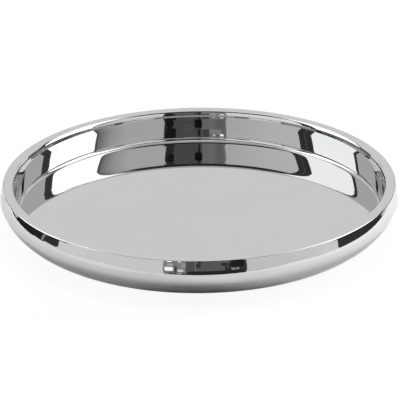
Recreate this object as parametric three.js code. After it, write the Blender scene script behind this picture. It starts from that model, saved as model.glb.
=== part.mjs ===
// Round serving tray in mirror-polished steel, built as a hollow double wall.
// A pressed pan makes the floor, the wall, the flat rim and the flared collar. Its collar slips over
// the edge of a pressed lower shell, whose round tucks in to a flat base. A plate closes the base,
// a board between plate and floor keeps the mirror floor flat, and pads keep the steel off the table.
import * as THREE from 'three';

// Outside, in millimetres
const TRAY_DIAMETER = 380; // across the shoulder, the widest edge
const COLLAR_FLARE = 3.25; // shoulder past the rim edge, on the radius
const COLLAR_HEIGHT = 13.7; // rim edge down to the shoulder
const COLLAR_SWELL = 0.4; // collar past a straight cone
const UNDERBODY_ROUND = 41; // round from the shoulder in to the base
const RIM_EDGE_ROUND = 1.8; // crisp outer edge of the flat rim

// Well
const RIM_WIDTH = 10.85; // rim edge in to the wall
const WELL_DEPTH = 31.7; // rim to floor
const FLOOR_HEIGHT = 14.8; // table to floor
const LIP_WIDTH = 3.4; // oval lip between rim and wall
const LIP_DROP = 6.8;
const FLOOR_ROUND_WIDTH = 2.4; // oval round between wall and floor
const FLOOR_ROUND_RISE = 3.8;
const WALL_TOP_TILT = -3; // degrees by which the wall faces up under the lip: below zero it faces down
const WALL_FOOT_TILT = 4.3; // and where it meets the floor's round

// Sheet metal
const PAN_SHEET = 0.8;
const SHELL_SHEET = 0.8;
const PLATE_SHEET = 0.8;
const SPIGOT_LENGTH = 6; // edge of the shell that stands up inside the collar
const BASE_RING_WIDTH = 4; // flat of the shell around the base plate
const FLANGE_WIDTH = 10; // shell flange over the edge of the base plate

// Board and pads
const BOARD_MARGIN = 2; // board edge to the round of the shell
const PAD_DIAMETER = 20;
const PAD_HEIGHT = 1.5;
const PAD_EDGE_ROUND = 0.5;
const PAD_INSET = 12; // pad to the edge of the base plate
const PAD_COUNT = 4;

// Clearances
const SEAM_GAP = 0.3; // between steel edges that meet
const SEAT_GAP = 0.3; // between a piece and what it rests on

// Facets
const TURN_STEPS = 72; // round the axis
const ROUND_STEPS = 4; // in a small round
const WALL_STEPS = 4;
const COLLAR_STEPS = 4;
const SPIGOT_STEPS = 2;
const UNDERBODY_STEPS = 12;
const PAD_TURN_STEPS = 24;

// Heights that several pieces share
const FLOOR_Z = FLOOR_HEIGHT;
const RIM_Z = FLOOR_Z + WELL_DEPTH;
const SHOULDER_Z = RIM_Z - COLLAR_HEIGHT;
const BASE_Z = PAD_HEIGHT + SEAT_GAP;
const FLANGE_Z = BASE_Z + PLATE_SHEET + SEAM_GAP;

const polishedSteel = new THREE.MeshStandardMaterial({ color: 0xc9cbcc, roughness: 0.04, metalness: 1 });
const plainSteel = new THREE.MeshStandardMaterial({ color: 0xb4b6b7, roughness: 0.35, metalness: 1 });
const fibreboard = new THREE.MeshStandardMaterial({ color: 0xa8845a, roughness: 0.9, metalness: 0 });
const greySilicone = new THREE.MeshStandardMaterial({ color: 0x8f9192, roughness: 0.6, metalness: 0 });

// A place in the half section: distance from the axis, then height.
function place(radius, height) {
  return new THREE.Vector2(radius, height);
}

// Points of an arc between two angles, both ends included.
function arcPoints(centre, radius, fromAngle, toAngle, steps) {
  return Array.from({ length: steps + 1 }, (_, step) => {
    const angle = THREE.MathUtils.lerp(fromAngle, toAngle, step / steps);
    return place(centre.x + radius * Math.cos(angle), centre.y + radius * Math.sin(angle));
  });
}

// Points of an oval arc, found from the direction that the oval faces at each point.
function ovalPoints(centre, halfWidth, halfHeight, fromFacing, toFacing, steps) {
  return Array.from({ length: steps + 1 }, (_, step) => {
    const facing = THREE.MathUtils.lerp(fromFacing, toFacing, step / steps);
    const across = halfWidth * Math.cos(facing);
    const up = halfHeight * Math.sin(facing);
    const reach = Math.hypot(across, up);
    return place(centre.x + (halfWidth * across) / reach, centre.y + (halfHeight * up) / reach);
  });
}

// The arc through two points that swells to the left of the straight line between them.
function swollenArc(from, to, swell) {
  const half = to.clone().sub(from).multiplyScalar(0.5);
  const radius = (half.lengthSq() + swell ** 2) / (2 * swell);
  const centre = place(half.y, -half.x).setLength(radius - swell).add(from).add(half);
  const angleOf = (point) => Math.atan2(point.y - centre.y, point.x - centre.x);
  return { centre, radius, startAngle: angleOf(from), endAngle: angleOf(to) };
}

// The arc that rounds a corner, from the side that comes in to the side that goes out.
function roundedCorner(before, corner, after, radius) {
  const back = before.clone().sub(corner).normalize();
  const onward = after.clone().sub(corner).normalize();
  const halfAngle = Math.acos(back.dot(onward)) / 2;
  const centre = back.clone().add(onward).setLength(radius / Math.sin(halfAngle)).add(corner);
  const start = back.multiplyScalar(radius / Math.tan(halfAngle)).add(corner).sub(centre);
  const end = onward.multiplyScalar(radius / Math.tan(halfAngle)).add(corner).sub(centre);
  const sweep = Math.atan2(start.cross(end), start.dot(end));
  return arcPoints(centre, radius, start.angle(), start.angle() + sweep, ROUND_STEPS);
}

// A line parallel to another at a distance to its right, with its corners mitred.
function parallelLine(line, distance) {
  const rightOf = line.slice(1).map((point, index) => {
    const along = point.clone().sub(line[index]).normalize();
    return place(along.y, -along.x);
  });
  return line.map((point, index) => {
    const first = rightOf[Math.max(index - 1, 0)];
    const second = rightOf[Math.min(index, rightOf.length - 1)];
    const mitre = first.clone().add(second).multiplyScalar(distance / (1 + first.dot(second)));
    return mitre.add(point);
  });
}

// Section of a sheet whose visible face follows a line, with the metal to the right of the line.
function sheetSection(face, thickness) {
  return [...parallelLine(face, thickness), ...face.toReversed()];
}

// A solid of revolution about +Z. A section that doesn't reach the axis is closed on itself.
function turned(section, steps) {
  const onAxis = section[0].x === 0;
  const profile = onAxis ? section : [...section, section[0].clone()];
  return new THREE.LatheGeometry(profile, steps).rotateX(Math.PI / 2);
}

function piece(name, geometry, material) {
  const mesh = new THREE.Mesh(geometry, material);
  mesh.name = name;
  return mesh;
}

// The collar swells a little on its way from the rim edge out to the shoulder.
const shoulder = place(TRAY_DIAMETER / 2, SHOULDER_Z);
const rimEdge = place(shoulder.x - COLLAR_FLARE, RIM_Z);
const collar = swollenArc(rimEdge, shoulder, COLLAR_SWELL);

// Round of the underbody: it passes through the shoulder and ends level with the base.
const roundDrop = BASE_Z + UNDERBODY_ROUND - SHOULDER_Z;
const roundReach = Math.sqrt(UNDERBODY_ROUND ** 2 - roundDrop ** 2);
const roundCentre = place(shoulder.x - roundReach, BASE_Z + UNDERBODY_ROUND);
const recessRadius = roundCentre.x - BASE_RING_WIDTH;
const plateRadius = recessRadius - SEAM_GAP;

// Inside of the well, from the floor's round up to the lip. The wall is one slow arc, and its two
// ovals end facing the way the wall does, so that the mirror has no crease.
function wellLine() {
  const topTilt = THREE.MathUtils.degToRad(WALL_TOP_TILT);
  const footTilt = THREE.MathUtils.degToRad(WALL_FOOT_TILT);
  const lipCentre = place(rimEdge.x - RIM_WIDTH + LIP_WIDTH, RIM_Z - LIP_DROP);
  const lip = ovalPoints(lipCentre, LIP_WIDTH, LIP_DROP, Math.PI - topTilt, Math.PI / 2, ROUND_STEPS);
  const floorOval = (centre) =>
    ovalPoints(centre, FLOOR_ROUND_WIDTH, FLOOR_ROUND_RISE, -Math.PI / 2, -footTilt, ROUND_STEPS);
  const footFromCentre = floorOval(place(0, 0)).at(-1);
  const floorCentreZ = FLOOR_Z + FLOOR_ROUND_RISE;
  const wallTop = lip[0];
  const wallDrop = wallTop.y - floorCentreZ - footFromCentre.y;
  const wallRadius = wallDrop / (Math.sin(footTilt) - Math.sin(topTilt));
  const wallCentre = place(
    wallTop.x - wallRadius * Math.cos(topTilt),
    wallTop.y + wallRadius * Math.sin(topTilt),
  );
  const wall = arcPoints(wallCentre, wallRadius, -footTilt, -topTilt, WALL_STEPS);
  const floorRound = floorOval(place(wall[0].x - footFromCentre.x, floorCentreZ));
  return [...floorRound, ...wall.slice(1, -1), ...lip];
}

// Pan: floor, wall, lip, flat rim and collar pressed from one sheet.
function trayPan() {
  const well = wellLine();
  const collarAim = place(rimEdge.x + Math.sin(collar.startAngle), rimEdge.y - Math.cos(collar.startAngle));
  const footAngle = collar.endAngle + SEAM_GAP / collar.radius;
  const collarLine = arcPoints(collar.centre, collar.radius, collar.startAngle, footAngle, COLLAR_STEPS);
  const face = [
    place(0, FLOOR_Z),
    ...well,
    ...roundedCorner(well.at(-1), rimEdge, collarAim, RIM_EDGE_ROUND),
    ...collarLine.slice(1),
  ];
  return piece('tray_pan', turned(sheetSection(face, PAN_SHEET), TURN_STEPS), polishedSteel);
}

// Lower shell: a spigot that follows the collar inside, a ledge under the collar's edge, the round
// of the underbody, and a base ring that steps up to a flange over the base plate.
function lowerShell() {
  const spigotRadius = collar.radius - PAN_SHEET - SEAM_GAP;
  const spigotTopAngle = collar.endAngle + SPIGOT_LENGTH / spigotRadius;
  const startAngle = -Math.asin(roundDrop / UNDERBODY_ROUND);
  const face = [
    ...arcPoints(collar.centre, spigotRadius, spigotTopAngle, collar.endAngle, SPIGOT_STEPS),
    ...arcPoints(roundCentre, UNDERBODY_ROUND, startAngle, -Math.PI / 2, UNDERBODY_STEPS),
    place(recessRadius, BASE_Z),
    place(recessRadius, FLANGE_Z),
    place(recessRadius - FLANGE_WIDTH, FLANGE_Z),
  ];
  return piece('lower_shell', turned(sheetSection(face, SHELL_SHEET), TURN_STEPS), polishedSteel);
}

// A plain disc between two heights.
function disc(radius, bottom, top) {
  const section = [place(0, bottom), place(radius, bottom), place(radius, top), place(0, top)];
  return turned(section, TURN_STEPS);
}

function basePlate() {
  return piece('base_plate', disc(plateRadius, BASE_Z, BASE_Z + PLATE_SHEET), plainSteel);
}

// Board that lies on the shell's flange and carries the floor of the pan.
function coreBoard() {
  const bottom = FLANGE_Z + SHELL_SHEET + SEAT_GAP;
  const top = FLOOR_Z - PAN_SHEET - SEAT_GAP;
  const innerRound = UNDERBODY_ROUND - SHELL_SHEET;
  const radius = roundCentre.x + Math.sqrt(innerRound ** 2 - (roundCentre.y - bottom) ** 2) - BOARD_MARGIN;
  return piece('core_board', disc(radius, bottom, top), fibreboard);
}

// Pads under the base plate, evenly spaced, with rounded lower edges.
function footPads() {
  const padRadius = PAD_DIAMETER / 2;
  const circleRadius = plateRadius - PAD_INSET - padRadius;
  const lowerEdge = place(padRadius, 0);
  const upperEdge = place(padRadius, PAD_HEIGHT);
  const section = [
    place(0, 0),
    ...roundedCorner(place(0, 0), lowerEdge, upperEdge, PAD_EDGE_ROUND),
    upperEdge,
    place(0, PAD_HEIGHT),
  ];
  return Array.from({ length: PAD_COUNT }, (_, index) => {
    const pad = piece(`foot_pad_${index + 1}`, turned(section, PAD_TURN_STEPS), greySilicone);
    const bearing = (2 * Math.PI * (index + 0.5)) / PAD_COUNT;
    pad.position.set(circleRadius * Math.cos(bearing), circleRadius * Math.sin(bearing), 0);
    return pad;
  });
}

const servingTray = new THREE.Group();
servingTray.add(trayPan(), lowerShell(), basePlate(), coreBoard(), ...footPads());

export default servingTray;
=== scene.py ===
"""Round serving tray in mirror-polished steel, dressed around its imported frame.

The pan and the shell are fine turned surfaces, because a mirror shows every facet. Cards and soft
boxes on a ring round the table give the mirror its dark and bright bands.
"""

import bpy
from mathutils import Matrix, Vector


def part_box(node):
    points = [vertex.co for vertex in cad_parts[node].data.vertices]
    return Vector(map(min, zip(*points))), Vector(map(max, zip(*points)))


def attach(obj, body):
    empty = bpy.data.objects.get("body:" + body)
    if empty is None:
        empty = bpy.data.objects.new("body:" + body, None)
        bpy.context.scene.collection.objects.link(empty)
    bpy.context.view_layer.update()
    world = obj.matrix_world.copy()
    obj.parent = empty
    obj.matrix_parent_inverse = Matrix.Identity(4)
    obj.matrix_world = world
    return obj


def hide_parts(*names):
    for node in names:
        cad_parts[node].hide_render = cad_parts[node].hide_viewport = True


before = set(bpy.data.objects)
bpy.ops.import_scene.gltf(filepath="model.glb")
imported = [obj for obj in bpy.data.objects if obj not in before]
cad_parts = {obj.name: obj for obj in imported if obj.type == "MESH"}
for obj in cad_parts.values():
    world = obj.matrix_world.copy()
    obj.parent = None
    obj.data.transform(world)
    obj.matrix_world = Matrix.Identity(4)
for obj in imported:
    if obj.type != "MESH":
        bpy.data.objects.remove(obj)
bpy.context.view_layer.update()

import math

import bpy
import numpy as np
from bpy.props import FloatProperty, FloatVectorProperty, IntProperty, PointerProperty
from mathutils import Matrix, Vector

bl_info = {
    "name": "Round serving tray",
    "version": (1, 0, 0),
    "blender": (4, 5, 0),
    "location": "View3D > Sidebar > Tray",
    "description": "Builds a mirror-polished serving tray and a small studio round it",
    "category": "Object",
}

BODY = "root"
QUARTER_TURN = math.pi / 2

_, PAN_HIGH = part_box("tray_pan")
_, SHELL_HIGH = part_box("lower_shell")
PLATE_LOW, PLATE_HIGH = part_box("base_plate")
PAD_NODES = sorted(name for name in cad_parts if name.startswith("foot_pad_"))

# Rings on the strips of a section, close together where the mirror turns
FLOOR_RINGS = 6
ROUND_RINGS = 45
WALL_RINGS = 17
RIM_RINGS = 3
EDGE_RINGS = 17
COLLAR_RINGS = 17
SPIGOT_RINGS = 7
SPIGOT_INSIDE_RINGS = 4
UNDERBODY_RINGS = 49
UNDERBODY_INSIDE_RINGS = 17
DISC_RINGS = 6
BREAK_RINGS = 6

# Rings crowd towards the wall by this power, and every third one is kept on a sheet's far side
WALL_CROWDING = 1.6
FAR_SIDE_STRIDE = 3

# Steps round a pad, and the distance within which a place counts as on the axis
PAD_STEPS = 96
ON_AXIS = 1e-9


def length(name, description, default):
    """A property in metres."""
    return FloatProperty(
        name=name, description=description, default=default,
        precision=5, subtype="DISTANCE", unit="LENGTH",
    )


def turn(name, description, default):
    """A property that is an angle, given in degrees and kept in radians."""
    start = math.radians(default)
    return FloatProperty(
        name=name, description=description, default=start, subtype="ANGLE", unit="ROTATION"
    )


def share(name, description, default):
    """A property without a unit."""
    return FloatProperty(name=name, description=description, default=default, precision=4)


def shade(name, description, default):
    """A colour property, in linear light."""
    return FloatVectorProperty(
        name=name, description=description, default=default, subtype="COLOR", size=3
    )


class TraySizes(bpy.types.PropertyGroup):
    """Sizes of the tray's section, in metres."""

    rim_height: length("Rim height", "Table to the flat rim", PAN_HIGH.z)
    shoulder_radius: length("Shoulder radius", "Axis to the widest edge", SHELL_HIGH.x)
    collar_flare: length("Collar flare", "Shoulder past the rim edge", 0.00325)
    collar_height: length("Collar height", "Rim edge down to the shoulder", 0.0137)
    collar_swell: length("Collar swell", "Collar past a straight cone", 0.0004)
    rim_edge_round: length("Rim edge round", "Round of the rim's outer edge", 0.0012)
    rim_width: length("Rim width", "Rim edge in to the wall", 0.01085)
    floor_height: length("Floor height", "Table to the floor of the well", 0.0148)
    lip_width: length("Lip width", "Oval lip, along the rim", 0.0031)
    lip_drop: length("Lip drop", "Oval lip, down the wall", 0.0071)
    floor_round_width: length("Floor round width", "Oval round at the floor, along the floor", 0.0024)
    floor_round_rise: length("Floor round rise", "Oval round at the floor, up the wall", 0.0038)
    lip_ease: length("Lip ease", "Wall over which the lip begins", 0.0038)
    lip_turn: turn("Lip ease turn", "Turn over which the lip's beginning fades", 4.5)
    foot_ease: length("Foot ease", "Wall over which the floor round begins", 0.0056)
    foot_turn: turn("Foot ease turn", "Turn over which the floor round's beginning fades", 1.8)
    wall_top_tilt: turn("Wall tilt under the lip", "Way the wall faces there, above level", -1.2)
    wall_foot_tilt: turn("Wall tilt at the floor", "Way the wall faces there, above level", 3.6)
    underbody_round: length("Underbody round", "Round from the shoulder in to the base", 0.041)
    base_height: length("Base height", "Table to the underside of the base", PLATE_LOW.z)
    sheet: length("Sheet", "Thickness of the steel", PLATE_HIGH.z - PLATE_LOW.z)
    seam: length("Seam", "Hairline between collar and shoulder", 0.00005)
    spigot_length: length("Spigot length", "Shell edge inside the collar", 0.006)
    spigot_gap: length("Spigot gap", "Between collar and spigot", 0.0003)
    base_ring_width: length("Base ring width", "Flat of the shell round the plate", 0.004)
    flange_width: length("Flange width", "Shell flange over the plate", 0.010)
    edge_break: length("Edge break", "Round on the edges of plate and pads", 0.0003)


class TrayFinish(bpy.types.PropertyGroup):
    """Colours and finish of the tray's materials."""

    steel_colour: shade("Polished steel", "Reflectance of the polished sheet", (0.598, 0.600, 0.602))
    steel_edge: share("Steel at grazing angles", "Reflectance towards the edge of a round", 0.87)
    steel_roughness: share("Polish", "Roughness of the polished sheet", 0.03)
    satin_colour: shade("Satin steel", "Reflectance of the base plate", (0.50, 0.50, 0.505))
    satin_roughness: share("Satin", "Roughness of the base plate", 0.32)
    board_colour: shade("Fibreboard", "Board under the floor", (0.39, 0.23, 0.10))
    silicone_colour: shade("Silicone", "Pads under the base", (0.27, 0.28, 0.285))
    turn_steps: IntProperty(
        name="Steps round the axis", description="Fineness of the mirror", default=360
    )


class TrayStudio(bpy.types.PropertyGroup):
    """Camera, floor and light."""

    camera_distance: length("Camera distance", "From the middle of the rim's plane", 2.290)
    camera_height_angle: turn("Camera height", "Angle down to the tray", 22.95)
    camera_roll: turn("Camera roll", "Tilt of the picture", -0.47)
    focal_length: share("Focal length", "Millimetres, on a sensor 36 mm wide", 216.0)
    shift_right: share("Shift right", "Share of the picture's width", 0.002)
    shift_up: share("Shift up", "Share of the picture's width", -0.054)
    ring_radius: length("Ring radius", "Distance of the cards and soft boxes", 1.3)
    eye_height: length("Eye height", "Height from which the cards' angles count", 0.03)
    table_width: length("Table half width", "Middle of the table to its side", 0.37)
    table_front: length("Table front", "Middle of the table to its front edge", 0.395)
    table_back: length("Table back", "Middle of the table to its back edge", 0.60)
    floor_reach: length("Floor reach", "Half the side of the pale floor", 6.0)
    floor_gap: length("Floor gap", "Hair between the pads and the floor", 0.0001)
    floor_colour: shade("Floor", "Pale matt floor", (0.84, 0.84, 0.84))
    floor_white: share("Floor white", "Share of plain white in what the camera sees of the floor", 0.93)
    background: share("Background", "Light of the plain white surroundings", 0.96)
    ambient: share("Ambient", "Light of the surroundings on matt surfaces", 0.5)
    lamp_power: share("Overhead lamp", "Power of the broad lamp overhead, in watts", 38.0)
    left_power: share("Left lamp", "Power of the low lamp on the left, in watts", 13.0)
    right_power: share("Right lamp", "Power of the low lamp on the right, in watts", 26.0)


# Turned surfaces


def round_arc(centre, radius, start, end, count):
    """Places and facings of an arc: centre + radius (cos a, sin a), with a from start to end."""
    angle = np.linspace(start, end, count)
    facing = np.stack([np.cos(angle), np.sin(angle)], axis=1)
    return np.asarray(centre) + radius * facing, facing


def eased_round(half_width, half_height, tilt, ease_length, ease_turn):
    """Oval round from a wall to a level face that begins slowly, as distances from its level end.

    At tilt t its radius is the oval's, (w h)^2 / |(w cos t, h sin t)|^3, plus an ease that fades
    with the turn: ease_length / ease_turn times e to the power of -(t - tilt) / ease_turn. The
    distances are running sums of the radius times the turn, across by sin t and along the wall by cos t.
    """
    angle = tilt + (QUARTER_TURN - tilt) * np.linspace(0, 1, ROUND_RINGS) ** WALL_CROWDING
    reach = np.hypot(half_width * np.cos(angle), half_height * np.sin(angle))
    oval = (half_width * half_height) ** 2 / reach**3
    radius = oval + ease_length / ease_turn * np.exp((tilt - angle) / ease_turn)
    speed = radius[:, None] * np.stack([np.sin(angle), np.cos(angle)], axis=1)
    pieces = (speed[1:] + speed[:-1]) / 2 * np.diff(angle)[:, None]
    left = np.cumsum(pieces[::-1], axis=0)[::-1]
    return np.concatenate([left, np.zeros((1, 2))]), np.stack([-np.cos(angle), np.sin(angle)], axis=1)


def straight(start, end, count=2):
    """Straight line, start + s (end - start) with s from 0 to 1, facing to the left of its direction."""
    start, end = np.asarray(start), np.asarray(end)
    along = (end - start) / np.linalg.norm(end - start)
    places = start + np.linspace(0, 1, count)[:, None] * (end - start)
    return places, np.tile([-along[1], along[0]], (count, 1))


def hollow(strip):
    """The same line seen from its hollow side."""
    places, facing = strip
    return places, -facing


def other_side(strips, sheet):
    """The far side of a sheet: places moved back by its thickness, reversed, with fewer rings."""
    far = []
    for places, facing in reversed(strips):
        keep = np.unique(np.append(np.arange(0, len(places), FAR_SIDE_STRIDE), len(places) - 1))[::-1]
        far.append((places[keep] - sheet * facing[keep], -facing[keep]))
    return far


def swollen_arc(start, end, swell):
    """Centre, radius and end angles of the arc through two places that swells out past their line.

    With c for half the line's length and s for the swell, its radius is (c c + s s) / (2 s).
    """
    start, end = np.asarray(start), np.asarray(end)
    half = (end - start) / 2
    radius = (half @ half + swell**2) / (2 * swell)
    inward = np.array([half[1], -half[0]]) / np.linalg.norm(half)
    centre = start + half + inward * (radius - swell)
    first, last = (math.atan2(*(place - centre)[::-1]) for place in (start, end))
    return centre, radius, first, last


def ring_quads(low, high, step, following, steps):
    """Faces between two rings: up at one step and down again at the one that follows."""
    low, high = low * steps, high * steps
    corners = [low + step, high + step, high + following, low + following]
    return np.stack(corners, axis=-1).reshape(-1, 4).tolist()


def corner_values(groups, facings, along, circle):
    """Normals and map places of all corners of the faces.

    A corner has the facing of its end of the band, turned to its step, and the map place (step /
    steps, share of the section's length). Each group of like faces gives its bands, its steps and
    the steps that follow them, then the end and the side on which each corner lies.
    """
    normals, map_places = [], []
    for *grids, ends, sides in groups:
        band, step, following = (grid.reshape(-1) for grid in grids)
        group_normals, group_map = [], []
        for end, side in zip(ends, sides):
            facing = facings[end][band]
            turned = circle[following if side else step]
            group_normals.append(np.column_stack([facing[:, :1] * turned, facing[:, 1]]))
            group_map.append(np.column_stack([(step + side) / len(circle), along[band + end]]))
        normals.append(np.stack(group_normals, axis=1).reshape(-1, 3))
        map_places.append(np.stack(group_map, axis=1).reshape(-1, 2))
    return np.concatenate(normals), np.concatenate(map_places)


def turned_piece(name, strips, steps, centre=(0.0, 0.0)):
    """Mesh of a section turned about +Z: (r cos t, r sin t, z) for each place (r, z) and angle t.

    The section is a list of strips that follow each other round the metal with the outside on
    their left. Each strip brings its own facings, so edges between strips stay crisp where they
    turn and smooth where they don't. A section that doesn't start on the axis closes on itself.
    """
    places = np.concatenate([strip[0][:-1] for strip in strips] + [strips[-1][0][-1:]])
    before = np.concatenate([strip[1][:-1] for strip in strips])
    after = np.concatenate([strip[1][1:] for strip in strips])
    closed = places[0, 0] > ON_AXIS
    along = np.concatenate([[0.0], np.cumsum(np.linalg.norm(np.diff(places, axis=0), axis=1))])
    along /= along[-1]
    bands = len(places) - 1
    rings = bands if closed else bands - 1
    angle = np.arange(steps) * 2 * math.pi / steps
    circle = np.stack([np.cos(angle), np.sin(angle)], axis=1)

    shown = places[:-1] if closed else places[1:-1]
    corners = np.empty((rings, steps, 3))
    corners[..., :2] = shown[:, None, :1] * circle + np.asarray(centre)
    corners[..., 2] = shown[:, None, 1]
    vertices = corners.reshape(-1, 3)
    band, step = np.meshgrid(np.arange(bands), np.arange(steps), indexing="ij")
    following = (step + 1) % steps
    quad_ends, quad_sides = (0, 1, 1, 0), (0, 0, 1, 1)
    if closed:
        faces = ring_quads(band, (band + 1) % bands, step, following, steps)
        groups = [(band, step, following, quad_ends, quad_sides)]
    else:
        first_pole, last_pole = len(vertices), len(vertices) + 1
        poles = [[*centre, places[0, 1]], [*centre, places[-1, 1]]]
        vertices = np.concatenate([vertices, poles])
        inner, inner_step, inner_next = band[1:-1], step[1:-1], following[1:-1]
        rim, rim_next = step[0], following[0]
        last_ring = (rings - 1) * steps
        opening = np.stack([np.full(steps, first_pole), rim, rim_next], axis=-1)
        closing = np.stack([last_ring + rim, np.full(steps, last_pole), last_ring + rim_next], axis=-1)
        faces = ring_quads(inner - 1, inner, inner_step, inner_next, steps)
        faces += opening.tolist() + closing.tolist()
        groups = [
            (inner, inner_step, inner_next, quad_ends, quad_sides),
            (band[0], rim, rim_next, (0, 1, 1), (0, 0, 1)),
            (band[-1], rim, rim_next, (0, 1, 0), (0, 0, 1)),
        ]
    normals, map_places = corner_values(groups, (before, after), along, circle)

    mesh = bpy.data.meshes.new(name)
    mesh.from_pydata(vertices.tolist(), [], faces)
    mesh.polygons.foreach_set("use_smooth", np.ones(len(faces), dtype=bool))
    turn_map = mesh.uv_layers.new(name="turn_map")
    turn_map.data.foreach_set("uv", map_places.astype(np.float32).reshape(-1))
    mesh.normals_split_custom_set(normals.tolist())
    mesh.update()
    piece = bpy.data.objects.new(name, mesh)
    bpy.context.scene.collection.objects.link(piece)
    return piece


def well_strips(sizes):
    """Inside of the well from the axis to the rim: floor, eased round, wall arc, eased lip.

    The wall's radius is its height over the difference of the sines of its tilts at foot and top,
    so that the arc runs into both rounds without a crease.
    """
    top, foot = sizes.wall_top_tilt, sizes.wall_foot_tilt
    rim_start = sizes.shoulder_radius - sizes.collar_flare - sizes.rim_width + sizes.lip_width
    short_of_rim, lip_facing = eased_round(
        sizes.lip_width, sizes.lip_drop, top, sizes.lip_ease, sizes.lip_turn
    )
    lip = (np.array([rim_start, sizes.rim_height]) - short_of_rim, lip_facing)
    past_floor, round_facing = eased_round(
        sizes.floor_round_width, sizes.floor_round_rise, foot, sizes.foot_ease, sizes.foot_turn
    )
    wall_top = lip[0][0]
    wall_drop = wall_top[1] - sizes.floor_height - past_floor[0, 1]
    wall_radius = wall_drop / (math.sin(foot) - math.sin(top))
    wall_centre = wall_top + wall_radius * np.array([-math.cos(top), math.sin(top)])
    wall = round_arc(wall_centre, wall_radius, -foot, -top, WALL_RINGS)
    floor_end = np.array([wall[0][0, 0] - past_floor[0, 0], sizes.floor_height])
    floor_round = (floor_end + past_floor[::-1], round_facing[::-1])
    floor = straight((0, sizes.floor_height), floor_end, FLOOR_RINGS)
    return [floor, floor_round, hollow(wall), lip]


def collar_arc(sizes):
    """Centre, radius and end angles of the collar, from the rim edge to the shoulder."""
    shoulder = (sizes.shoulder_radius, sizes.rim_height - sizes.collar_height)
    rim_edge = (sizes.shoulder_radius - sizes.collar_flare, sizes.rim_height)
    return swollen_arc(rim_edge, shoulder, sizes.collar_swell)


def pan_strips(sizes):
    """Section of the pan: well, flat rim, rim edge and collar, then the far side of the sheet.

    The round of the rim edge touches rim and collar: it is set back from their corner by its
    radius over the tangent of half the corner's angle.
    """
    well = well_strips(sizes)
    centre, radius, first, last = collar_arc(sizes)
    half_corner = (QUARTER_TURN + first) / 2
    setback = sizes.rim_edge_round / math.tan(half_corner)
    rim_edge = sizes.shoulder_radius - sizes.collar_flare
    edge_centre = (rim_edge - setback, sizes.rim_height - sizes.rim_edge_round)
    edge = round_arc(edge_centre, sizes.rim_edge_round, QUARTER_TURN, first, EDGE_RINGS)
    collar_start, collar_end = first - setback / radius, last + sizes.seam / radius
    collar = round_arc(centre, radius, collar_start, collar_end, COLLAR_RINGS)
    collar[0][0] = edge[0][-1]
    rim = straight(well[-1][0][-1], edge[0][0], RIM_RINGS)
    face = [*well, rim, edge, collar]
    back = other_side(face, sizes.sheet)
    return [*face, straight(collar[0][-1], back[0][0][0]), *back]


def shell_strips(sizes):
    """Section of the shell: spigot, ledge, underbody round, base ring, step and flange, then the inside.

    The spigot follows the collar at a constant gap. The underbody is an arc that meets the base
    level and passes through the shoulder: its centre lies sqrt(u u - d d) in from the shoulder,
    for its radius u and the height d of its centre over the shoulder.
    """
    sheet = sizes.sheet
    centre, radius, _, last = collar_arc(sizes)
    shoulder = np.array([sizes.shoulder_radius, sizes.rim_height - sizes.collar_height])
    outer = radius - sheet - sizes.spigot_gap
    top = last + sizes.spigot_length / outer
    spigot = round_arc(centre, outer, top, last, SPIGOT_RINGS)
    spigot_inside = round_arc(centre, outer - sheet, last, top, SPIGOT_INSIDE_RINGS)

    under = sizes.underbody_round
    drop = sizes.base_height + under - shoulder[1]
    under_centre = np.array([shoulder[0] - math.sqrt(under**2 - drop**2), sizes.base_height + under])
    body = round_arc(under_centre, under, -math.asin(drop / under), -QUARTER_TURN, UNDERBODY_RINGS)
    ledge_start = -math.asin((drop + sheet) / (under - sheet))
    inside = round_arc(under_centre, under - sheet, -QUARTER_TURN, ledge_start, UNDERBODY_INSIDE_RINGS)
    ledge_inside = np.array([spigot_inside[0][0, 0], shoulder[1] - sheet])

    base, flange = sizes.base_height, PLATE_HIGH.z + sizes.spigot_gap
    recess = under_centre[0] - sizes.base_ring_width
    inner_edge = recess - sizes.flange_width
    corners = [
        body[0][-1],
        (recess, base),
        (recess, flange),
        (inner_edge, flange),
        (inner_edge, flange + sheet),
        (recess + sheet, flange + sheet),
        (recess + sheet, base + sheet),
        inside[0][0],
    ]
    ring = [straight(start, end) for start, end in zip(corners, corners[1:])]
    return [
        spigot,
        straight(spigot[0][-1], body[0][0]),
        body,
        *ring,
        hollow(inside),
        straight(inside[0][-1], ledge_inside),
        straight(ledge_inside, spigot_inside[0][0]),
        hollow(spigot_inside),
        straight(spigot_inside[0][-1], spigot[0][0]),
    ]


def disc_strips(radius, bottom, top, edge_break):
    """Section of a flat disc, its upper and lower edge broken by a quarter of a small circle."""
    inset = radius - edge_break
    upper = round_arc((inset, top - edge_break), edge_break, QUARTER_TURN, 0, BREAK_RINGS)
    lower = round_arc((inset, bottom + edge_break), edge_break, 0, -QUARTER_TURN, BREAK_RINGS)
    return [
        straight((0, top), upper[0][0], DISC_RINGS),
        upper,
        straight(upper[0][-1], lower[0][0]),
        lower,
        straight(lower[0][-1], (0, bottom), DISC_RINGS),
    ]


# Materials


class Wire:
    """An output socket that takes part in plain arithmetic: each operator adds a Math node."""

    def __init__(self, shader, socket):
        self.shader = shader
        self.socket = socket

    def math(self, operation, *values):
        """Adds a Math node on numbers and wires, and gives its result."""
        return self.shader.node("ShaderNodeMath", {"operation": operation}, dict(enumerate(values)))

    def __add__(self, other):
        return self.math("ADD", self, other)

    __radd__ = __add__

    def __mul__(self, other):
        return self.math("MULTIPLY", self, other)

    __rmul__ = __mul__

    def __sub__(self, other):
        return self.math("SUBTRACT", self, other)

    def __rsub__(self, other):
        return self.math("SUBTRACT", other, self)

    def __pow__(self, other):
        return self.math("POWER", self, other)

    def __rpow__(self, other):
        return self.math("POWER", other, self)


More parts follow.
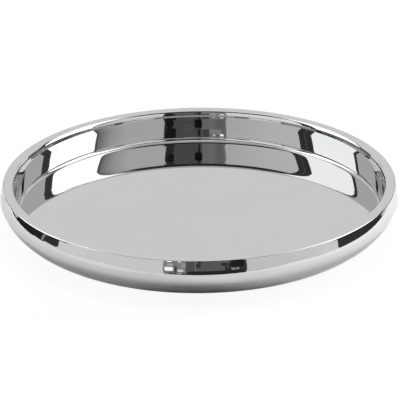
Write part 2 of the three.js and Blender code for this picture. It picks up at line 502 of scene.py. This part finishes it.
class Shader:
    """A node tree with one method that adds a node, sets it up and links it."""

    # Places of a Mix node's colour sockets, which share their names with its number sockets
    MIX_FIRST, MIX_SECOND, MIX_RESULT = 6, 7, 2

    def __init__(self, owner):
        owner.use_nodes = True
        self.tree = owner.node_tree
        self.tree.nodes.clear()

    def node(self, kind, settings=None, inputs=None, output=0):
        """Adds a node: settings first, then links from wires, and plain values on their sockets.

        A ramp's stops are pairs of place and grey.
        """
        node = self.tree.nodes.new(kind)
        for name, value in (settings or {}).items():
            if name == "stops":
                self.set_stops(node.color_ramp, value)
            else:
                setattr(node, name, value)
        for name, value in (inputs or {}).items():
            if isinstance(value, Wire):
                self.tree.links.new(value.socket, node.inputs[name])
            else:
                node.inputs[name].default_value = value
        return Wire(self, node.outputs[output]) if node.outputs else node

    @staticmethod
    def set_stops(ramp, stops):
        """Puts the greys on a ramp at their places."""
        while len(ramp.elements) < len(stops):
            ramp.elements.new(1.0)
        for element, (place, grey) in zip(ramp.elements, stops):
            element.position = place
            element.color = (grey, grey, grey, 1.0)

    def coordinates(self):
        """Object coordinates of the surface."""
        return self.node("ShaderNodeTexCoord", output="Object")

    def noise(self, vector, scale, detail, roughness):
        """A cloudy pattern with about scale clouds in each metre."""
        inputs = {"Vector": vector, "Scale": scale, "Detail": detail, "Roughness": roughness}
        return self.node("ShaderNodeTexNoise", inputs=inputs)

    def around_axis(self, vector, squeeze):
        """Distance from the axis and height as a vector: a pattern on it runs in circles."""
        split = self.node("ShaderNodeSeparateXYZ", inputs={"Vector": vector})
        across, along, up = (Wire(self, socket) for socket in split.socket.node.outputs)
        distance = (across * across + along * along) ** 0.5
        inputs = {"X": distance, "Y": up, "Z": distance * squeeze}
        return self.node("ShaderNodeCombineXYZ", inputs=inputs)

    def shades(self, pattern, colour, darkest, lightest):
        """Shades of one colour along a pattern, from darkest to lightest, as multiples of the colour."""
        inputs = {"Factor": pattern}
        for place, factor in ((self.MIX_FIRST, darkest), (self.MIX_SECOND, lightest)):
            inputs[place] = (*(part * factor for part in colour), 1.0)
        return self.node("ShaderNodeMix", {"data_type": "RGBA"}, inputs, output=self.MIX_RESULT)

    def bump(self, height, distance, strength=1.0, normal=None):
        """Normals of a fine relief, laid over another relief where one is given."""
        inputs = {"Height": height, "Distance": distance, "Strength": strength}
        if normal:
            inputs["Normal"] = normal
        return self.node("ShaderNodeBump", inputs=inputs)

    def surface(self, **inputs):
        """Ends the tree in a Principled surface; socket names are written with underscores."""
        named = {name.replace("_", " "): value for name, value in inputs.items()}
        self.finish(self.node("ShaderNodeBsdfPrincipled", inputs=named))

    def finish(self, shader, output="ShaderNodeOutputMaterial"):
        """Ends the tree in a material's or a world's output."""
        self.node(output, inputs={"Surface": shader})


def new_material(name):
    """An empty material and the shader that fills it."""
    material = bpy.data.materials.new(name)
    return material, Shader(material)


def polished_steel(finish):
    """Mirror polish: faint circular buffing lines, slow waves of the pressed sheet and soft haze.

    The haze and the lines take the roughness from 0.6 to 1.4 times the polish. Pan and shell share it.
    """
    material = bpy.data.materials.get("mirror_polish")
    if material:
        return material
    material, shader = new_material("mirror_polish")
    where = shader.coordinates()
    circles = shader.around_axis(where, squeeze=0.3)
    buffing = shader.noise(circles, scale=2400.0, detail=3.0, roughness=0.6)
    haze = shader.noise(where, scale=14.0, detail=4.0, roughness=0.6)
    waves = shader.noise(where, scale=22.0, detail=1.0, roughness=0.4)
    lines = shader.bump(buffing, distance=0.0000002)
    shader.surface(
        Base_Color=shader.shades(haze, finish.steel_colour, darkest=0.985, lightest=1.015),
        Metallic=1.0,
        Roughness=finish.steel_roughness * (0.6 + 0.5 * haze + 0.3 * buffing),
        Specular_Tint=(finish.steel_edge, finish.steel_edge, finish.steel_edge, 1.0),
        Normal=shader.bump(waves, distance=0.000006, normal=lines),
    )
    return material


def satin_steel(finish):
    """Satin plate: brushed in circles on a turntable, with a few deeper lines.

    The lines and the patches take the roughness from 0.75 to 1.3 times the satin's.
    """
    material, shader = new_material("circle_brushed_steel")
    where = shader.coordinates()
    circles = shader.around_axis(where, squeeze=0.2)
    fine = shader.noise(circles, scale=1500.0, detail=4.0, roughness=0.7)
    broad = shader.noise(circles, scale=130.0, detail=2.0, roughness=0.5)
    patches = shader.noise(where, scale=9.0, detail=3.0, roughness=0.6)
    brushing = fine * 0.6 + patches * 0.4
    lines = shader.bump(fine, distance=0.000012)
    shader.surface(
        Base_Color=shader.shades(brushing, finish.satin_colour, darkest=0.86, lightest=1.10),
        Metallic=1.0,
        Roughness=finish.satin_roughness * (0.75 + 0.35 * fine + 0.2 * patches),
        Normal=shader.bump(broad, distance=0.000015, normal=lines),
    )
    return material


def fibreboard(finish):
    """Pressed board: short fibres in fine and coarse clumps, paler and darker."""
    material, shader = new_material("pressed_fibreboard")
    where = shader.coordinates()
    fibres = shader.noise(where, scale=900.0, detail=5.0, roughness=0.75)
    clumps = shader.noise(where, scale=120.0, detail=3.0, roughness=0.6)
    pressing = fibres * 0.6 + clumps * 0.4
    shader.surface(
        Base_Color=shader.shades(pressing, finish.board_colour, darkest=0.62, lightest=1.30),
        Roughness=0.78 + 0.18 * clumps,
        Normal=shader.bump(fibres, distance=0.00008, strength=0.8),
    )
    return material


def silicone(finish):
    """Matt grey silicone with a fine moulded grain and a little dust."""
    material, shader = new_material("moulded_silicone")
    where = shader.coordinates()
    grain = shader.noise(where, scale=2600.0, detail=2.0, roughness=0.5)
    dust = shader.noise(where, scale=160.0, detail=4.0, roughness=0.65)
    shader.surface(
        Base_Color=shader.shades(dust, finish.silicone_colour, darkest=0.9, lightest=1.12),
        Roughness=0.52 + 0.2 * dust,
        Normal=shader.bump(grain, distance=0.00003, strength=0.7),
    )
    return material


def settle(piece, material, slot, *nodes):
    """Gives a piece its finish and its place on the body, and hides the nodes it stands for."""
    piece.data.materials.append(material)
    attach(piece, BODY)
    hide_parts(*nodes)


# Stage


SENSOR_WIDTH = 36.0
CLIP_END = 50.0
WHITE = (1.0, 1.0, 1.0, 1.0)

# Soft lamps: name, place, width and the studio's value for the power, all aimed low over the table
LAMP_AIM = Vector((0.0, 0.0, 0.02))
LAMPS = (
    ("overhead_lamp", (0.0, 0.0, 2.6), 1.2, "lamp_power"),
    ("left_lamp", (-1.2, 0.2, 0.3), 0.5, "left_power"),
    ("right_lamp", (1.2, 0.25, 0.3), 0.5, "right_power"),
)

# Grid of a card, how much nearer each next card stands as a share of the ring, and the width of
# a corner that is left square
CARD_ROWS = 7
CARD_COLUMNS = 41
CARD_STEP = 0.0015
SQUARE_CORNER = 1e-6

# The matt floor sees only these cards, and the mirror shows all cards but the flag
SHADING_CARDS = {"front_flag", "opening", "overhead_gap"}
UNMIRRORED_CARD = "front_flag"

# Stops of grey from the left to the right of the opening in front
OPENING = (
    (0.0, 0.36), (0.06, 0.27), (0.14, 0.29), (0.22, 0.35),
    (0.385, 0.33), (0.395, 0.14), (0.855, 0.16), (0.87, 0.055),
)

# Cards on a ring round the table, each in front of the ones before it: name, bearings from the
# camera round to the right, height angles, width and height of the rounded corners, and light.
# Angles are in degrees, and a third bearing is how far the top leans to the side. One number for
# the corners is both width and height. Light is one grey, or stops of grey from left to right.
CARDS = (
    ("front_flag", (-75, 62), (-1, 45), 0, 0.05),
    ("left_low_panel", (-60, -12), (-16, 12), 0, 0.92),
    ("right_low_panel", (17, 66), (-16, 12), 0, ((0.1, 0.83), (0.55, 0.86), (1.0, 0.94))),
    ("left_panel", (-71.5, -18), (12, 44), 0, ((0.0, 1.2), (0.5, 1.14), (0.8, 1.05), (1.0, 1.0))),
    ("opening_top", (-19.8, 26), (36, 60), 0, OPENING),
    ("opening", (-18.6, 23.6), (-10, 60), (2.5, 9), OPENING),
    ("overhead_gap", (-76, 66), (42, 66), 0, ((0.0, 0.04), (0.9, 0.04), (1.0, 0.45))),
    ("left_far", (-137, -114), (-5, 14), 2, 0.03),
    ("right_far", (114, 136), (-6, 14), 2, 0.03),
    ("left_gap", (-127.5, -71.5), (4, 60), 4, 0.07),
    ("left_gap_lean", (-128.6, -118, -25), (23.5, 58), 0, 0.07),
    ("left_gap_line", (-77.2, -76.5), (12, 36), 0, 0.17),
    ("left_box", (-124, -82.5), (9, 62), 3, 2.3),
    ("left_box_lean", (-125.2, -112, -18), (24, 58), 0, 2.3),
    ("right_gap", (71.5, 125.2), (4, 58), 4, 0.09),
    ("right_gap_lean", (114, 124.2, 45), (24, 58), 0, 0.09),
    ("right_fade", (52, 72.5), (10, 44), 2, ((0.0, 0.93), (0.5, 0.75), (1.0, 0.33))),
    ("right_box", (73.9, 116.2), (8.2, 62), 3, 2.8),
    ("right_box_lean", (105, 115.8, 30), (24, 58), 0, 2.8),
    ("left_back_gap", (-162, -156), (17, 24), 1, 0.04),
    ("right_back_gap", (153, 159), (17, 24), 1, 0.04),
    ("left_under", (-122, -98), (-9.2, 9.2), 2, 0.024),
    ("left_under_middle", (-101, -88.5), (-7.5, 9.2), 2, 0.026),
    ("left_under_front", (-91, -78), (-6, 9.2), (3, 4), 0.045),
    ("left_slit_low", (-91, -89.6), (-6.6, -3.6), 0.5, 0.45),
    ("left_slit_middle", (-90.2, -88.8), (-3.4, -0.6), 0.5, 0.45),
    ("left_slit_high", (-89.4, -88), (-0.4, 3), 0.5, 0.45),
    ("left_notch", (-126, -115), (-7, -5), 1, 0.96),
    ("right_under", (86, 121), (-10.7, 8.5), 2, 0.045),
    ("right_under_front", (75.9, 96), (-9.9, 8.5), (10, 5), 0.05),
    ("right_notch", (115, 126), (-8, -6), 1, 0.96),
    ("dim_wall", (-7.1, -2.5), (-8.5, 18.1), 1, 0.12),
    ("grey_block", (4.4, 10.9), (14, 23.5), 0.5, 0.175),
    ("dim_floor", (-6.5, 22.5), (-9.2, -2), 3, 0.03),
    ("floor_edge", (-16, 20), (-10, -8.4), 1, 0.06),
    ("dim_corner", (-15.5, -7), (-7.5, -4.5), 1, 0.12),
    ("dark_side", (15.4, 22.3), (1.7, 20.2), 2, 0.02),
    ("dark_side_neck", (18, 21.4), (19, 22), 0.5, 0.025),
    ("dark_side_top", (17.3, 22.3), (21.1, 28.2), 2, 0.02),
    ("dark_side_foot", (10.5, 15.8), (5.5, 9), 1, 0.03),
    ("dark_post", (12.4, 15.4), (-2, 5.5), 0.6, 0.045),
    ("grey_post", (13.4, 14.3), (1, 9), 0.3, 0.1),
    ("middle_dark", (-2.2, 2.9), (19.4, 28.9), 1.5, 0.012),
    ("middle_arm", (-0.8, 0.4), (28, 38), 0.3, 0.02),
    ("middle_stand", (-0.9, 0.7), (9.5, 18.6), 0.4, 0.03),
    ("middle_foot", (-2.1, 0.4), (3.4, 8.6), 0.8, 0.05),
    ("pale_pane", (-15.4, -7.2), (13.6, 18.2), 0.6, 0.5),
    ("bright_pane", (-16.7, -14.3), (10.8, 14), 0.5, 2.3),
    ("bright_spot", (-11, -9.6), (10.8, 13.2), 0.4, 1.7),
    ("pale_left", (-16.6, -13.4), (5, 8.4), 0.6, 0.6),
    ("pale_right", (-9.4, -7.1), (3.5, 9.5), 0.4, 0.45),
    ("bright_middle", (-17.5, -13.3), (-2.4, 3.4), 0.9, 1.5),
    ("bright_right", (-11.1, -8.2), (-3, 0.2), 0.8, 1.0),
    ("bright_low", (-11.3, -9.1), (-6.5, -5.2), 0.5, 0.7),
    ("dark_gap", (-12.6, -11.5), (-4, 5), 0.3, 0.08),
    ("pale_spot", (15.9, 17.6), (-1.8, 0.8), 0.6, 0.4),
    ("small_spot", (18.1, 19.4), (-1.4, 1.1), 0.5, 0.5),
)


def ring_card(name, studio, bearings, heights, corner, order, material):
    """A card bent round the table: (R sin a, -R cos a, h + R tan e) for bearing a and height angle e.

    A third bearing, where there is one, is how far the top leans to the side. Near its ends the
    card is lower by c (1 - sqrt(1 - d d)), where d runs from 0 to 1 across the corner and c is the
    corner's height, which rounds its four corners.
    """
    left, right, lean = (*bearings, 0)[:3]
    spread = (1 - np.cos(np.linspace(0, math.pi, CARD_COLUMNS))) / 2
    bearing = left + (right - left) * spread
    from_end = np.minimum(bearing - left, right - bearing)
    across_corner, corner_height = corner if isinstance(corner, tuple) else (corner, corner)
    into = np.clip(1 - from_end / max(across_corner, SQUARE_CORNER), 0, 1)
    lower = corner_height * (1 - np.sqrt(1 - into**2))
    rise = np.linspace(0, 1, CARD_ROWS)
    foot = np.tan(np.radians(heights[0] + lower))[:, None]
    head = np.tan(np.radians(heights[1] - lower))[:, None]
    ring = studio.ring_radius * (1 - CARD_STEP * order)
    across = np.radians(bearing[:, None] + lean * rise)
    height = studio.eye_height + ring * (foot + (head - foot) * rise)
    places = np.stack([ring * np.sin(across), -ring * np.cos(across), height], axis=-1)
    index = np.arange(CARD_COLUMNS * CARD_ROWS).reshape(CARD_COLUMNS, CARD_ROWS)
    quads = [index[:-1, :-1], index[1:, :-1], index[1:, 1:], index[:-1, 1:]]
    faces = np.stack(quads, axis=-1).reshape(-1, 4)
    card = stage_mesh(name, places.reshape(-1, 3), faces, material)
    spread_map = card.data.uv_layers.new(name="spread")
    corners = np.stack(np.meshgrid(spread, rise, indexing="ij"), axis=-1).reshape(-1, 2)
    spread_map.data.foreach_set("uv", corners[faces.reshape(-1)].astype(np.float32).reshape(-1))
    card.visible_camera = False
    card.visible_shadow = False
    card.visible_diffuse = name in SHADING_CARDS
    card.visible_glossy = name != UNMIRRORED_CARD


def stage_mesh(name, vertices, faces, material):
    """A thing that belongs to the stage and not to the tray."""
    mesh = bpy.data.meshes.new(name)
    mesh.from_pydata(np.asarray(vertices).tolist(), [], np.asarray(faces).tolist())
    mesh.materials.append(material)
    thing = bpy.data.objects.new(name, mesh)
    bpy.context.scene.collection.objects.link(thing)
    return thing


def glow(name, light):
    """A plain surface that gives off an even light."""
    material, shader = new_material(name)
    shader.finish(shader.node("ShaderNodeEmission", inputs={"Color": WHITE, "Strength": light}))
    return material


def graded_glow(name, stops):
    """A surface whose light changes across it, from its left edge to its right."""
    material, shader = new_material(name)
    place = shader.node("ShaderNodeUVMap", {"uv_map": "spread"})
    across = shader.node("ShaderNodeSeparateXYZ", inputs={"Vector": place})
    light = shader.node("ShaderNodeValToRGB", {"stops": stops}, {"Fac": across})
    shader.finish(shader.node("ShaderNodeEmission", inputs={"Color": light}))
    return material


def pale_floor(studio):
    """Matt floor: white to the camera apart from a light shadow, and a plain table to the mirror."""
    material, shader = new_material("pale_floor")
    matt = shader.node("ShaderNodeBsdfDiffuse", inputs={"Color": (*studio.floor_colour, 1.0)})
    white = shader.node("ShaderNodeEmission", inputs={"Color": WHITE, "Strength": 1.0})
    whiteness = shader.node("ShaderNodeLightPath", output="Is Camera Ray") * studio.floor_white
    shader.finish(shader.node("ShaderNodeMixShader", inputs={0: whiteness, 1: matt, 2: white}))
    return material


def build_floor(studio):
    """Table top under the tray, and a wider floor round it that the mirror doesn't show."""
    material = pale_floor(studio)
    width, front, back = studio.table_width, studio.table_front, studio.table_back
    reach, low = studio.floor_reach, -studio.floor_gap
    table = [(-width, -front, low), (width, -front, low), (width, back, low), (-width, back, low)]
    outer = [(-reach, -reach, low), (reach, -reach, low), (reach, reach, low), (-reach, reach, low)]
    stage_mesh("table", table, [(0, 1, 2, 3)], material)
    corner = np.arange(len(table))
    following = np.roll(corner, -1)
    outer_corner, outer_following = corner + len(table), following + len(table)
    sides = np.stack([outer_corner, outer_following, following, corner], axis=-1)
    surround = stage_mesh("floor", table + outer, sides, material)
    surround.visible_glossy = False


def build_surroundings(studio):
    """Surroundings that are white to the camera, near white in mirror and glass, and dim as a light."""
    world = bpy.data.worlds.new("white_surroundings")
    bpy.context.scene.world = world
    shader = Shader(world)
    seen = shader.node("ShaderNodeLightPath", output="Is Camera Ray")
    kinds = seen.socket.node.outputs
    mirrored, passed = (Wire(shader, kinds[kind]) for kind in ("Is Glossy Ray", "Is Transmission Ray"))
    shown = mirrored.math("MAXIMUM", mirrored, passed)
    light = seen + studio.background * shown + studio.ambient * (1 - seen - shown)
    sky = shader.node("ShaderNodeBackground", inputs={"Color": WHITE, "Strength": light})
    shader.finish(sky, "ShaderNodeOutputWorld")


def build_cards(studio):
    """The soft boxes, the dark gaps beside them and the small cards in front, all round the table."""
    for order, (name, bearings, heights, corner, light) in enumerate(CARDS):
        material = graded_glow(name, light) if isinstance(light, tuple) else glow(name, light)
        ring_card(name, studio, bearings, heights, corner, order, material)


def build_lamps(studio):
    """Broad square lamps that light the matt floor and that the mirror doesn't show."""
    for name, place, width, power in LAMPS:
        light = bpy.data.lights.new(name, "AREA")
        light.size = width
        light.energy = getattr(studio, power)
        lamp = bpy.data.objects.new(name, light)
        lamp.location = place
        lamp.rotation_euler = (Vector(place) - LAMP_AIM).to_track_quat("Z", "Y").to_euler()
        lamp.visible_glossy = False
        bpy.context.scene.collection.objects.link(lamp)


def build_camera(studio, sizes):
    """Long lens at the photograph's angle, aimed at the middle of the rim's plane."""
    lens = bpy.data.cameras.new("camera")
    lens.sensor_width = SENSOR_WIDTH
    lens.lens = studio.focal_length
    lens.shift_x = studio.shift_right
    lens.shift_y = studio.shift_up
    lens.clip_end = CLIP_END
    height = studio.camera_height_angle
    towards = Vector((0.0, -math.cos(height), math.sin(height)))
    right = Vector((1.0, 0.0, 0.0))
    turn_to = Matrix((right, towards.cross(right), towards)).transposed()
    turn_to = turn_to @ Matrix.Rotation(studio.camera_roll, 3, "Z")
    camera = bpy.data.objects.new("camera", lens)
    place = Vector((0.0, 0.0, sizes.rim_height)) + towards * studio.camera_distance
    camera.matrix_world = Matrix.Translation(place) @ turn_to.to_4x4()
    bpy.context.scene.collection.objects.link(camera)
    bpy.context.scene.camera = camera


# Operators


class TRAY_OT_pan(bpy.types.Operator):
    """Turn the polished pan: floor, wall, lip, flat rim and collar"""

    bl_idname = "tray.polished_pan"
    bl_label = "Polished pan"

    def execute(self, context):
        sizes, finish = context.scene.tray_sizes, context.scene.tray_finish
        pan = turned_piece("polished_pan", pan_strips(sizes), finish.turn_steps)
        settle(pan, polished_steel(finish), "polished_steel", "tray_pan")
        return {"FINISHED"}


class TRAY_OT_shell(bpy.types.Operator):
    """Turn the polished lower shell: underbody round, base ring and flange"""

    bl_idname = "tray.polished_shell"
    bl_label = "Polished shell"

    def execute(self, context):
        sizes, finish = context.scene.tray_sizes, context.scene.tray_finish
        shell = turned_piece("polished_shell", shell_strips(sizes), finish.turn_steps)
        settle(shell, polished_steel(finish), "polished_steel", "lower_shell")
        return {"FINISHED"}


class TRAY_OT_base(bpy.types.Operator):
    """Turn the satin plate that closes the base"""

    bl_idname = "tray.satin_plate"
    bl_label = "Satin base plate"

    def execute(self, context):
        sizes, finish = context.scene.tray_sizes, context.scene.tray_finish
        section = disc_strips(PLATE_HIGH.x, PLATE_LOW.z, PLATE_HIGH.z, sizes.edge_break)
        plate = turned_piece("satin_plate", section, finish.turn_steps)
        settle(plate, satin_steel(finish), "satin_steel", "base_plate")
        return {"FINISHED"}


class TRAY_OT_board(bpy.types.Operator):
    """Give the board under the floor its pressed-fibre finish"""

    bl_idname = "tray.core_board"
    bl_label = "Core board"

    def execute(self, context):
        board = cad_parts["core_board"]
        board.material_slots[0].material = fibreboard(context.scene.tray_finish)
        return {"FINISHED"}


class TRAY_OT_pads(bpy.types.Operator):
    """Turn the silicone pads, glued to the base plate"""

    bl_idname = "tray.silicone_pads"
    bl_label = "Silicone pads"

    def execute(self, context):
        sizes, finish = context.scene.tray_sizes, context.scene.tray_finish
        material = silicone(finish)
        for node in PAD_NODES:
            low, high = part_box(node)
            middle = (low + high) / 2
            section = disc_strips((high.x - low.x) / 2, low.z, PLATE_LOW.z, sizes.edge_break)
            pad = turned_piece(node.replace("foot", "silicone"), section, PAD_STEPS, middle.xy)
            settle(pad, material, "silicone", node)
        return {"FINISHED"}


class TRAY_OT_stage(bpy.types.Operator):
    """Set the camera, the pale floor and the light"""

    bl_idname = "tray.studio"
    bl_label = "Studio"

    def execute(self, context):
        studio = context.scene.tray_studio
        build_camera(studio, context.scene.tray_sizes)
        build_floor(studio)
        build_surroundings(studio)
        build_cards(studio)
        build_lamps(studio)
        context.scene.view_settings.view_transform = "Standard"
        return {"FINISHED"}


GROUPS = {"tray_sizes": TraySizes, "tray_finish": TrayFinish, "tray_studio": TrayStudio}
OPERATORS = (TRAY_OT_pan, TRAY_OT_shell, TRAY_OT_base, TRAY_OT_board, TRAY_OT_pads, TRAY_OT_stage)


class TRAY_PT_sidebar(bpy.types.Panel):
    """Lists the tray's pieces and the studio"""

    bl_idname = "TRAY_PT_sidebar"
    bl_label = "Serving tray"
    bl_space_type = "VIEW_3D"
    bl_region_type = "UI"
    bl_category = "Tray"

    def draw(self, context):
        for operator in OPERATORS:
            self.layout.operator(operator.bl_idname)
        for group_name in GROUPS:
            group = getattr(context.scene, group_name)
            box = self.layout.box()
            for name in group.bl_rna.properties.keys():
                if name not in {"rna_type", "name"}:
                    box.prop(group, name)


CLASSES = (*GROUPS.values(), *OPERATORS, TRAY_PT_sidebar)


def register():
    """Makes the tray's values, operators and panel known to Blender."""
    for made in CLASSES:
        bpy.utils.register_class(made)
    for name, group in GROUPS.items():
        setattr(bpy.types.Scene, name, PointerProperty(type=group))


def unregister():
    """Takes them out again, in reverse order."""
    for name in GROUPS:
        delattr(bpy.types.Scene, name)
    for made in reversed(CLASSES):
        bpy.utils.unregister_class(made)


def main():
    """Builds the tray and its studio."""
    register()
    bpy.ops.tray.polished_pan()
    bpy.ops.tray.polished_shell()
    bpy.ops.tray.satin_plate()
    bpy.ops.tray.core_board()
    bpy.ops.tray.silicone_pads()
    bpy.ops.tray.studio()


if __name__ == "__main__":
    main()
